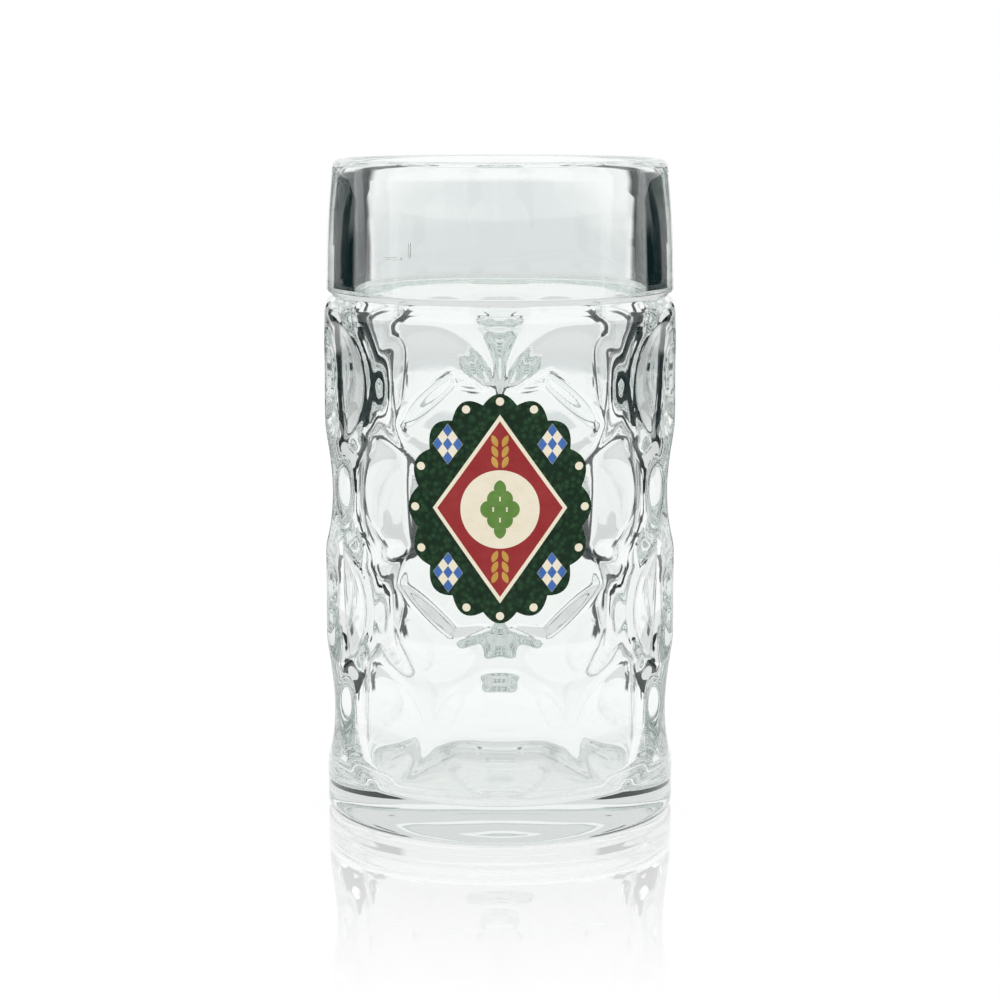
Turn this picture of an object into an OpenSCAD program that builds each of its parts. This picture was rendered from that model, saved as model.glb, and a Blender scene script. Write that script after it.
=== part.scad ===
// Clear pressed-glass beer mug, one litre to the fill line, with eye-shaped hollows around the barrel.
// Millimetres, +Z up. The origin is the middle of the foot on the table.
// The mug's axis is Z, the smooth picture panel faces -Y and the handle stands out along +Y.

/* [Barrel] */

// outer diameter of the barrel
body_d = 109; // [90:0.5:125]
// height of the mug from table to lip
body_h = 203; // [170:1:230]
// radius that rounds the foot's outer edge
heel_r = 2.6; // [1:0.1:6]
// radius that rounds the barrel in to the groove under the neck
shoulder_r = 6; // [3:0.1:10]

/* [Neck] */

// height of the smooth neck band from groove to lip
neck_h = 41.5; // [30:0.5:55]
// how far the neck band's lower end stands back from the barrel
neck_step = 0.9; // [0:0.1:4]
// how far the neck band draws in from its lower end to the lip
neck_taper = 1.9; // [0:0.1:6]
// depth of the groove below the neck band's lower end
groove_depth = 2; // [0.5:0.1:4]
// height of the groove's sloping upper side
groove_rise = 1.3; // [0.5:0.1:4]

/* [Fill mark] */

// height of the fill line, to which the mug holds its measure
fill_z = 175; // [168:0.5:190]
// length of the fill line around the neck
fill_w = 7.2; // [4:0.2:20]
// turn of the fill line's middle from the front to the left
fill_turn = 36; // [0:1:60]
// height of the upright stroke beside the fill line
stroke_h = 5; // [3:0.5:8]
// distance from the fill line's end to the stroke
stroke_gap = 2.5; // [1.5:0.1:6]
// how far the line and the stroke stand out
fill_rise = 0.3; // [0.2:0.05:0.8]

/* [Inside] */

// thickness of the glass at the lip
lip_t = 6; // [3:0.1:9]
// thickness of the barrel's wall above the floor's corner, away from the eyes
wall_t = 9.6; // [7:0.1:14]
// height of the inside floor above the table
floor_t = 9.5; // [7:0.1:24]
// radius of the corner between wall and floor
well_r = 8; // [4:0.5:20]

/* [Underside] */

// width of the flat ring that stands on the table
ring_w = 10.9; // [4:0.1:20]
// height of the hollow under the foot
hollow_h = 3.5; // [1:0.1:5]

/* [Eyes] */

// number of eyes in a full row
eye_count = 8; // [6:1:12]
// number of rows
row_count = 4; // [2:1:5]
// height of the lowest row's centres
row_first_z = 34.5; // [28:0.5:60]
// distance from row to row
row_pitch = 34; // [26:0.5:44]
// diameter of an eye, measured up the wall
eye_d = 37; // [20:0.5:40]
// depth of an eye at its middle
eye_depth = 4.6; // [3.6:0.1:6]
// radius of an eye's hollow around the mug
eye_wheel_r = 105; // [50:1:140]
// thickness of the glass behind an eye, which makes a swelling inside
eye_wall = 8.7; // [6:0.1:12]

/* [Panel] */

// width of the smooth panel, measured around the barrel
panel_w = 58.6; // [40:0.2:80]
// height of the smooth panel
panel_h = 71; // [40:0.5:90]
// distance from the panel's middle to its cut-off corners
panel_corner = 33.5; // [24:0.5:50]
// direction of the cut-off corners, up from the level line
panel_corner_a = 37; // [20:1:70]
// slope of the panel's edge, as run over depth
panel_slope = 0.75; // [0.2:0.05:1.2]

/* [Handle] */

// width of the handle across the fingers
grip_w = 22; // [14:0.5:32]
// thickness of the handle
grip_t = 16; // [10:0.5:24]
// radius that rounds the handle's edges
grip_r = 6.6; // [3:0.1:7.5]
// clear space for the hand between barrel and grip
hand_gap = 33; // [24:1:50]
// height of the upper arm's middle
upper_z = 136; // [115:1:150]
// height of the lower arm's middle
lower_z = 42; // [25:1:60]
// middle radius of the upper bend
upper_bend_r = 23; // [14:1:32]
// middle radius of the lower bend
lower_bend_r = 34; // [20:1:44]
// radius of the arms' roots where they meet the barrel
root_r = 13; // [9:0.5:18]
// radius of the hollow curve that leads from root to arm
root_fillet_r = 9; // [4:0.5:16]

/* [Picture] */

// thickness of one fired colour
coat = 0.12; // [0.05:0.01:0.4]
// half width of the picture's ground between its lobes, measured around the barrel
ground_u = 25.4; // [16:0.2:32]
// half height of the picture's ground between its lobes
ground_v = 31.2; // [16:0.2:40]
// number of lobes around the ground
lobe_count = 16; // [8:2:24]
// how far a lobe stands out
lobe_rise = 2.8; // [1:0.1:5]
// radius of the pearl in a lobe
pearl_r = 1.2; // [0.5:0.1:2.5]
// half width of the red lozenge
lozenge_u = 18.8; // [10:0.2:26]
// half height of the red lozenge
lozenge_v = 26; // [12:0.2:34]
// width of the pale line around the lozenge
line_w = 1.4; // [0.5:0.1:4]
// radius of the pale disc
disc_r = 11.6; // [6:0.2:18]
// half width of a chequered corner
corner_u = 4.4; // [2:0.1:8]
// half height of a chequered corner
corner_v = 6; // [2:0.1:10]
// where the chequered corners stand, as a share of the ground's half sizes
corner_at = 0.61; // [0.4:0.01:0.8]
// length of one hop scale
scale_l = 5; // [2:0.1:8]
// length of one barley grain
grain_l = 3.8; // [2:0.1:6]

/* [Hidden] */

body_r = body_d / 2;
well_wall_r = body_r - wall_t;
ring_r = body_r - heel_r - ring_w;
// how far a cut runs on past a face
past = 1;

// neck
neck_z = body_h - neck_h;
neck_r = body_r - neck_step;
lip_out_r = neck_r - neck_taper;
lip_r = lip_t / 2;
mouth_r = lip_out_r - lip_t;
lip_z = body_h - lip_r;
groove_r = neck_r - groove_depth;
band_z = neck_z + groove_rise;
neck_bow = (pow(lip_z - band_z, 2) + pow(neck_taper, 2)) / (2 * neck_taper);

// eyes
eye_rim_r = (pow(eye_d / 2, 2) + pow(eye_depth, 2)) / (2 * eye_depth);
eye_step = 360 / eye_count;
eye_axis = body_r - eye_depth + eye_wheel_r;
eye_rise = eye_depth + past;
swell_rise = max(past, mouth_r - body_r + eye_depth + eye_wall) + past;
eye_sector = 29;
picture_row = max(1, row_count - 2);
picture_z = row_first_z + picture_row * row_pitch;
root_row = 0;
root_clear = 12;

// handle
grip_y = body_r + hand_gap + grip_t / 2;
upper_y = grip_y - upper_bend_r;
lower_y = grip_y - lower_bend_r;
lower_bend_z = lower_z + lower_bend_r;
upper_bend_z = upper_z - upper_bend_r;
// how far the arms start inside the barrel's face
arm_in = 14;
// how far the root's neck lies inside the arm
neck_in = 0.5;
root_neck_r = grip_t / 2 - neck_in;
// how far the handle stays off the barrel
seat_tuck = 0.01;

// picture
check_gap = 0.06;

$fn = 96;

// Points along an arc from angle a0 to a1 around (cx, cy).
function arc(cx, cy, r, a0, a1, n = 12) =
    [for (i = [0:n]) [cx + r * cos(a0 + (a1 - a0) * i / n), cy + r * sin(a0 + (a1 - a0) * i / n)]];

// Radius of the bowed neck band at height z.
function neck_at(z) =
    neck_r - neck_bow + sqrt(pow(neck_bow, 2) - pow(z - band_z, 2));

// A point of the picture, given as a distance around the barrel and a height, seen from the front.
function wrapped(u, v) = [body_r * sin(u / body_r * 180 / PI), v];

// Half section of the outside, from the underside's middle out and up to the lip.
module outer_section() {
    shoulder_a = acos(max(-1, 1 - (body_r - groove_r) / shoulder_r));
    shoulder_z = neck_z - shoulder_r * sin(shoulder_a);
    hollow_r = (pow(ring_r, 2) + pow(hollow_h, 2)) / (2 * hollow_h);
    hollow_a = asin(ring_r / hollow_r);
    polygon(concat(
        arc(0, hollow_h - hollow_r, hollow_r, 90, 90 - hollow_a, 14),
        arc(body_r - heel_r, heel_r, heel_r, -90, 0, 8),
        arc(body_r - shoulder_r, shoulder_z, shoulder_r, 0, shoulder_a, 10),
        [for (i = [0:12]) let (z = band_z + (lip_z - band_z) * i / 12) [neck_at(z), z]],
        arc(lip_out_r - lip_r, lip_z, lip_r, 9, 90, 9),
        [[0, body_h]]
    ));
}

// Half section of the inside, run out past the lip as a flare that rounds its inner edge.
module inner_section() {
    draft_a = atan((mouth_r - well_wall_r) / (lip_z - floor_t - well_r));
    polygon(concat(
        [[0, floor_t]],
        arc(well_wall_r - well_r, floor_t + well_r, well_r, -90, -draft_a, 12),
        arc(mouth_r + lip_r, lip_z, lip_r, 180, 90, 10),
        [[mouth_r + lip_r, body_h + past], [0, body_h + past]]
    ));
}

// Bite of a round-edged wheel that turns about an upright axis beside the mug, rise deep.
// A wheel grown by the glass's thickness makes the swelling behind an eye.
module wheel_bite(grow, rise) {
    translate([0, -eye_axis, 0])
        rotate([0, 0, 90 - eye_sector / 2])
            rotate_extrude(angle = eye_sector)
                intersection() {
                    translate([eye_wheel_r - eye_rim_r, 0])
                        circle(r = eye_rim_r + grow);
                    translate([eye_wheel_r + grow - rise, -eye_d])
                        square([rise + past, 2 * eye_d]);
                }
}

// Place of eye k in a row: its turn from the front, both ways, and how far it lies from the picture.
function eye_turn(row, k) = (k + (row % 2) / 2) * eye_step;
function eye_away(row, k) = min(eye_turn(row, k), 360 - eye_turn(row, k));
function rows_off(row) = abs(row - picture_row);
function is_beside(row, k) = rows_off(row) <= 1 && eye_away(row, k) < 1.2 * eye_step;
function is_picture(row, k) = rows_off(row) == 0 && eye_away(row, k) < eye_step / 4;
function is_root(row, k) = row == root_row && eye_away(row, k) > 180 - root_clear;
function is_behind(row, k) = eye_away(row, k) > 180 - 1.2 * eye_step;

// Eye k of a row, in its place.
module placed_eye(row, k) {
    rotate([0, 0, eye_turn(row, k)])
        translate([0, 0, row_first_z + row * row_pitch])
            wheel_bite(0, eye_rise);
}

// Swellings of the inner wall behind all eyes.
module swellings() {
    for (row = [0:row_count - 1])
        for (k = [0:eye_count - 1])
            if (!is_picture(row, k) && !is_root(row, k))
                rotate([0, 0, eye_turn(row, k)])
                    translate([0, 0, row_first_z + row * row_pitch])
                        wheel_bite(eye_wall, swell_rise);
}

// Eyes of every row, those beside the panel or those away from it.
module eyes(beside) {
    for (row = [0:row_count - 1])
        for (k = [0:eye_count - 1])
            if (is_beside(row, k) == beside && !is_picture(row, k) && !is_root(row, k))
                placed_eye(row, k);
}

// The barrel's face behind, with the eyes that the handle's roots reach over.
module seat() {
    difference() {
        translate([0, 0, -past])
            cylinder(r = body_r + seat_tuck, h = body_h);
        for (row = [0:row_count - 1])
            for (k = [0:eye_count - 1])
                if (is_behind(row, k) && !is_root(row, k))
                    placed_eye(row, k);
    }
}

// Half space behind one sloping side of the panel, whose edge lies at distance d from its middle.
module panel_side(a, d, slope) {
    rotate([0, -a, 0])
        translate([d, -body_r, 0])
            rotate([0, 0, -atan(slope)])
                translate([-2 * body_d, -body_r, -1.5 * body_d])
                    cube([2 * body_d, 1.5 * body_d, 3 * body_d]);
}

// How far the barrel's face lies behind its front line, at a distance u around it.
function face_back(u) = body_r * (1 - cos(u / body_r * 180 / PI));

// The smooth panel's body, eight sloping sides that spread inwards.
module panel() {
    half_w = wrapped(panel_w / 2, 0)[0];
    side_d = half_w - panel_slope * face_back(panel_w / 2);
    corner_d = panel_corner - panel_slope * face_back(panel_corner * cos(panel_corner_a) * 0.75);
    end_d = panel_h / 2 - panel_slope * face_back(panel_w / 8);
    translate([0, 0, picture_z])
        intersection() {
            translate([-body_d, -1.4 * body_r, -body_d])
                cube([2 * body_d, body_r, 2 * body_d]);
            intersection_for (side = [0, 180])
                panel_side(side, side_d, panel_slope);
            intersection_for (end = [90, -90])
                panel_side(end, end_d, panel_slope);
            intersection_for (side = [0, 180], up = [-1, 1])
                panel_side(side + up * panel_corner_a, corner_d, panel_slope);
        }
}

// Raised fill line on the neck with an upright stroke beside it, both half-sunk round beads.
module fill_mark() {
    bead_x = neck_at(fill_z) - fill_rise;
    line_a = fill_w / neck_r * 180 / PI;
    stroke_a = stroke_gap / neck_r * 180 / PI;
    rotate([0, 0, -90 - fill_turn - line_a / 2])
        rotate_extrude(angle = line_a)
            translate([bead_x, fill_z])
                circle(r = 2 * fill_rise);
    rotate([0, 0, -90 - fill_turn + line_a / 2 + stroke_a])
        translate([bead_x, 0, fill_z])
            cylinder(r = 2 * fill_rise, h = stroke_h);
}

// Pressed cup: turned body, inside that follows the eyes, eyes all around except on the panel and lower root.
module vessel() {
    color("#dfe8e6") {
        difference() {
            rotate_extrude()
                outer_section();
            difference() {
                rotate_extrude()
                    inner_section();
                swellings();
            }
            eyes(false);
            difference() {
                eyes(true);
                panel();
            }
        }
        fill_mark();
    }
}

// Section of the handle with rounded edges, w across and t thick.
module grip_section(w, t, r) {
    square([t, w - 2 * r], center = true);
    square([t - 2 * r, w], center = true);
    for (x = [-1, 1])
        for (y = [-1, 1])
            translate([x * (t / 2 - r), y * (w / 2 - r)])
                circle(r = r);
}

// Level arm from inside the barrel's face out to y, with its root spread in a hollow curve.
module arm(y) {
    reach = sqrt(pow(root_fillet_r, 2) - pow(root_fillet_r - root_r + root_neck_r, 2));
    rotate([-90, 0, 0]) {
        translate([0, 0, body_r - arm_in])
            linear_extrude(y - body_r + arm_in)
                rotate(90)
                    grip_section(grip_w, grip_t, grip_r);
        translate([0, 0, body_r - arm_in])
            rotate_extrude()
                difference() {
                    square([root_r, arm_in + reach]);
                    translate([root_neck_r + root_fillet_r, arm_in + reach])
                        circle(r = root_fillet_r);
                }
    }
}

// Solid glass handle: level arms with a bend each and an upright grip between the bends.
module handle() {
    color("#d3dfdc")
        difference() {
            union() {
                translate([0, 0, upper_z])
                    arm(upper_y);
                translate([0, upper_y, upper_bend_z])
                    rotate([0, -90, 0])
                        rotate_extrude(angle = 90)
                            translate([upper_bend_r, 0])
                                grip_section(grip_w, grip_t, grip_r);
                translate([0, grip_y, lower_bend_z])
                    linear_extrude(upper_bend_z - lower_bend_z)
                        rotate(90)
                            grip_section(grip_w, grip_t, grip_r);
                translate([0, lower_y, lower_bend_z])
                    rotate([0, 90, 0])
                        rotate_extrude(angle = 90)
                            translate([lower_bend_r, 0])
                                grip_section(grip_w, grip_t, grip_r);
                translate([0, 0, lower_z])
                    arm(lower_y);
            }
            seat();
        }
}

// Fired colour number k over the outline drawn by the children, bent around the barrel.
module fired(k) {
    translate([0, 0, picture_z])
        intersection() {
            difference() {
                translate([0, 0, -body_h / 2])
                    cylinder(r = body_r + (k + 1) * coat, h = body_h);
                translate([0, 0, -body_h / 2 - past])
                    cylinder(r = body_r + k * coat, h = body_h + 2 * past);
            }
            rotate([90, 0, 0])
                linear_extrude(body_d)
                    children();
        }
}

// Point of the ground's oval at angle a from the top, moved outwards by grow.
function oval_at(a, grow = 0) =
    wrapped((ground_u + grow) * sin(a), (ground_v + grow) * cos(a));

// Point of the ground's lobed edge at angle a from the top.
function lobed_at(a) = oval_at(a, lobe_rise * abs(cos(a * lobe_count / 2)));

// Pointed oval, l long and w wide, along the second axis.
module grain(l, w) {
    r = (pow(l, 2) + pow(w, 2)) / (4 * w);
    intersection() {
        translate([r - w / 2, 0])
            circle(r = r);
        translate([w / 2 - r, 0])
            circle(r = r);
    }
}

// Upright lozenge with half sizes u and v.
module lozenge(u, v) {
    polygon([wrapped(u, 0), wrapped(0, v), wrapped(-u, 0), wrapped(0, -v)]);
}

// Outlines of the chequered corners, beside the red lozenge.
module corners() {
    for (su = [-1, 1])
        for (sv = [-1, 1])
            translate(wrapped(su * ground_u * corner_at, sv * ground_v * corner_at))
                children();
}

// Checks of one corner, the middle, top, bottom and two side fields of three by three.
module checks() {
    for (at = [[0, 0], [0, 2], [0, -2], [2, 0], [-2, 0]])
        translate([at[0] * corner_u / 3, at[1] * corner_v / 3])
            lozenge(corner_u / 3 - check_gap, corner_v / 3 - check_gap);
}

// Hop cone of pointed scales in five rows.
module hop() {
    for (row = [0:4])
        let (n = 1 + min(row, 4 - row))
            for (i = [0:n - 1])
                translate([(i - (n - 1) / 2) * scale_l * 0.8, (2 - row) * scale_l * 0.62])
                    grain(scale_l, scale_l * 0.72);
}

// Two ears of barley on the red lozenge, one above and one below the disc.
module barley() {
    for (sv = [-1, 1])
        for (i = [0:2])
            for (su = [-1, 1])
                translate([su * grain_l * 0.4, sv * (disc_r + grain_l * (0.62 + i * 0.82))])
                    rotate(-su * sv * 24)
                        grain(grain_l, grain_l * 0.46);
}

// Dark green ground with a lobed edge.
module print_green() {
    color("#1f3d2a")
        fired(0)
            polygon([for (i = [0:lobe_count * 10 - 1]) lobed_at(i * 36 / lobe_count)]);
}

// Cream: a pearl in every lobe, the line around the lozenge, the corners between their checks, the disc.
module print_cream() {
    color("#efe6cd")
        fired(1) {
            for (i = [0:lobe_count - 1])
                translate(oval_at(i * 360 / lobe_count, lobe_rise * 0.2))
                    circle(r = pearl_r);
            difference() {
                lozenge(lozenge_u + line_w, lozenge_v + line_w * lozenge_v / lozenge_u);
                lozenge(lozenge_u, lozenge_v);
            }
            corners()
                difference() {
                    lozenge(corner_u, corner_v);
                    checks();
                }
            difference() {
                circle(r = disc_r);
                hop();
            }
        }
}

// Red lozenge around the disc and the barley.
module print_red() {
    color("#9c2b2e")
        fired(1)
            difference() {
                lozenge(lozenge_u, lozenge_v);
                circle(r = disc_r);
                barley();
            }
}

// Blue checks in the corners.
module print_blue() {
    color("#3f6cb4")
        fired(1)
            corners()
                checks();
}

// Golden barley.
module print_gold() {
    color("#c79a3c")
        fired(1)
            barley();
}

// Leaf green hop cone.
module print_leaf() {
    color("#5f8a3a")
        fired(1)
            hop();
}

vessel();
handle();
print_green();
print_cream();
print_red();
print_blue();
print_gold();
print_leaf();
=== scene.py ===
"""Clear pressed-glass beer mug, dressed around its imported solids.

Cup and handle are one melt of glass, so here they are one closed surface. The fired picture lies on
the smooth panel in front. Lengths are in millimetres until a mesh is made, azimuths are in radians from
the front (-Y) towards the right (+X), and heights are measured up from the table.
"""

from __future__ import annotations

import logging
import math
from dataclasses import dataclass, field
from enum import Enum

import bpy
import numpy as np
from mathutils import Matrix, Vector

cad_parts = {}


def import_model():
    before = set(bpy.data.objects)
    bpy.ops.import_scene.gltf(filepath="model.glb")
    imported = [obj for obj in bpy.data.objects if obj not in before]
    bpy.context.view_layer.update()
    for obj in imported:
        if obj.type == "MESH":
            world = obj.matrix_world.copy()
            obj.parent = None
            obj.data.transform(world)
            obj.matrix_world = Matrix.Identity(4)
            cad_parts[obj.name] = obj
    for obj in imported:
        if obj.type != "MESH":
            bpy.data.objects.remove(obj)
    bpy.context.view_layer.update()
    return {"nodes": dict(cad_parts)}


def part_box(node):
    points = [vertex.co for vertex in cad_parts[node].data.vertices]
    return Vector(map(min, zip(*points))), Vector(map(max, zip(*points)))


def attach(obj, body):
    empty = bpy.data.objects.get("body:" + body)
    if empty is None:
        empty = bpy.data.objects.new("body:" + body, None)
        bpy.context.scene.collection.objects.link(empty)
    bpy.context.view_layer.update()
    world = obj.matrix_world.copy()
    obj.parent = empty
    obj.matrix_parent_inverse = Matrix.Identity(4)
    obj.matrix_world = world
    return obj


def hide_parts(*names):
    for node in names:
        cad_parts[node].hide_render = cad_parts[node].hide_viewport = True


LOG = logging.getLogger("beer_mug")
MM = 0.001
TINY = 1e-9
BODY = "root"
WHITE = "#ffffff"
# Numbers of a Mix node's two colour inputs and of its colour output
MIX_A, MIX_B, MIX_OUT = 6, 7, 2


def linear(colour: str) -> tuple[float, float, float, float]:
    """Turn an sRGB hex colour into linear red, green, blue and full alpha.

    Args:
        colour: the colour as "#rrggbb".

    Returns:
        Four numbers from 0 to 1.
    """
    parts = [int(colour[i:i + 2], 16) / 255 for i in (1, 3, 5)]
    light = [c / 12.92 if c <= 0.04045 else ((c + 0.055) / 1.055) ** 2.4 for c in parts]
    return light[0], light[1], light[2], 1.0


def add_node(tree: bpy.types.NodeTree, kind: str, settings: dict | None = None,
             inputs: dict | None = None) -> bpy.types.Node:
    """Add one node, set its options, and set or link its inputs.

    Args:
        tree: the node tree that takes the node.
        kind: the node's type name after ShaderNode.
        settings: options of the node itself, by attribute name.
        inputs: values, output sockets or nodes, whose first output counts, by input name or number.

    Returns:
        The new node.
    """
    node = tree.nodes.new(f"ShaderNode{kind}")
    for name, value in (settings or {}).items():
        setattr(node, name, value)
    for name, value in (inputs or {}).items():
        if isinstance(value, (bpy.types.Node, bpy.types.NodeSocket)):
            tree.links.new(getattr(value, "outputs", [value])[0], node.inputs[name])
        else:
            node.inputs[name].default_value = value
    return node


def new_material(name: str) -> bpy.types.Material:
    """Make an empty node material.

    Args:
        name: the material's name.

    Returns:
        The material, with no nodes yet.
    """
    material = bpy.data.materials.new(name)
    material.use_nodes = True
    material.node_tree.nodes.clear()
    return material


def make_object(name: str, points: np.ndarray, faces: list[np.ndarray],
                material: bpy.types.Material) -> bpy.types.Object:
    """Make a smooth-shaded mesh object at the origin.

    Args:
        name: the object's name.
        points: vertex places in millimetres, one row each.
        faces: arrays of vertex numbers, one array for each count of corners.
        material: the finish of all faces.

    Returns:
        The new object, linked to the scene.
    """
    mesh = bpy.data.meshes.new(name)
    corners = [corner for block in faces for corner in block.tolist()]
    mesh.from_pydata((points * MM).tolist(), [], corners)
    mesh.polygons.foreach_set("use_smooth", np.ones(len(mesh.polygons), dtype=bool))
    mesh.materials.append(material)
    mesh.update()
    piece = bpy.data.objects.new(name, mesh)
    bpy.context.scene.collection.objects.link(piece)
    return piece


def grid_quads(rows: int, columns: int, closed: bool) -> np.ndarray:
    """Number the quads of a grid whose vertices are counted along each row.

    Args:
        rows: rows of vertices.
        columns: vertices in a row.
        closed: whether each row's last vertex joins its first.

    Returns:
        An array of shape (rows - 1, columns or columns - 1, 4).
    """
    step = np.arange(columns if closed else columns - 1)
    low = np.arange(rows - 1)[:, None] * columns
    here, beside = low + step, low + (step + 1) % columns
    return np.stack([here, beside, beside + columns, here + columns], axis=-1)


def fan(pole: int, ring: np.ndarray) -> np.ndarray:
    """Triangles from a pole to every side of a closed ring, in the ring's own direction."""
    return np.stack([np.full(len(ring), pole), ring, np.roll(ring, -1)], axis=-1)


def around_axis(radius: np.ndarray, azimuth: np.ndarray, height: np.ndarray) -> np.ndarray:
    """Points x = radius sin(azimuth), y = -radius cos(azimuth), z = height."""
    x, y = radius * np.sin(azimuth), -radius * np.cos(azimuth)
    return np.stack(np.broadcast_arrays(x, y, height), axis=-1)


def soft_min(a: np.ndarray, b: np.ndarray, width: float) -> np.ndarray:
    """Smaller of two radii, less (width - |a - b|)^2 / (4 width) near the crease, which rounds it."""
    near = np.maximum(width - np.abs(a - b), 0.0)
    return np.minimum(a, b) - near ** 2 / (4 * width)


def soft_max(a: np.ndarray, b: np.ndarray, width: float) -> np.ndarray:
    """Larger of two radii, with the crease rounded in the same way."""
    return -soft_min(-a, -b, width)


def arc(centre: tuple[float, float], radius: float, start: float, stop: float) -> np.ndarray:
    """Points along a circular arc from angle start to stop, one every two degrees or closer."""
    turn = np.radians(np.linspace(start, stop, max(4, int(abs(stop - start) / 2) + 1)))
    return np.stack([centre[0] + radius * np.cos(turn), centre[1] + radius * np.sin(turn)], axis=-1)


def resampled(line: np.ndarray, step: float) -> np.ndarray:
    """Place points at an even step along a line of points.

    Args:
        line: points, one row each.
        step: the wanted step, which is stretched a little to end on the last point.

    Returns:
        The new points, one row each.
    """
    length = np.concatenate([[0.0], np.cumsum(np.hypot(*np.diff(line, axis=0).T))])
    at = np.linspace(0.0, length[-1], int(length[-1] / step) + 1)
    return np.stack([np.interp(at, length, line[:, k]) for k in (0, 1)], axis=-1)


@dataclass(frozen=True)
class Panel:
    """Smooth eight-sided panel that carries the picture, its edges sloping out as they go in."""

    body_r: float
    middle_z: float
    width: float = 58.6
    height: float = 71.0
    corner: float = 33.5
    corner_angle: float = math.radians(37)
    slope: float = 0.75
    end_share: float = 0.125
    corner_share: float = 0.75

    def face_back(self, around: float) -> float:
        """How far the barrel's face lies behind its front line, at a distance around it."""
        return self.body_r * (1 - math.cos(around / self.body_r))

    def sides(self) -> list[tuple[float, float]]:
        """Work out the eight sloping sides in the upright plane before the mug.

        A side's distance is that of its edge on the barrel, less slope times how far the barrel's face
        lies back there: for an end at end_share of the width, for a corner at corner_share of its own.

        Returns:
            Direction and distance of each side.
        """
        half = self.width / 2
        side = self.body_r * math.sin(half / self.body_r) - self.slope * self.face_back(half)
        end = self.height / 2 - self.slope * self.face_back(self.end_share * self.width)
        corner_u = self.corner_share * self.corner * math.cos(self.corner_angle)
        corner = self.corner - self.slope * self.face_back(corner_u)
        turns = [turn + up * self.corner_angle for turn in (0, math.pi) for up in (-1, 1)]
        return ([(0.0, side), (math.pi, side), (math.pi / 2, end), (-math.pi / 2, end)]
                + [(turn, corner) for turn in turns])

    def radius(self, azimuth: np.ndarray, height: np.ndarray) -> np.ndarray:
        """Radius out to which the panel's body reaches.

        A side holds x cos(a) + z sin(a) <= d + slope (y + body_r). On a ray from the axis that is
        radius = (d + slope body_r - z sin(a)) / (cos(a) sin(azimuth) + slope cos(azimuth)), and
        the nearest side counts.

        Args:
            azimuth: angles from the front.
            height: heights above the table.

        Returns:
            The radius at each place.
        """
        up = height - self.middle_z
        reach = np.full(np.broadcast_shapes(azimuth.shape, height.shape), np.inf)
        for turn, distance in self.sides():
            spread = math.cos(turn) * np.sin(azimuth) + self.slope * np.cos(azimuth)
            top = distance + self.slope * self.body_r - math.sin(turn) * up
            met = np.where(spread > TINY, top / np.maximum(spread, TINY), np.inf)
            reach = np.minimum(reach, met)
        return reach


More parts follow.
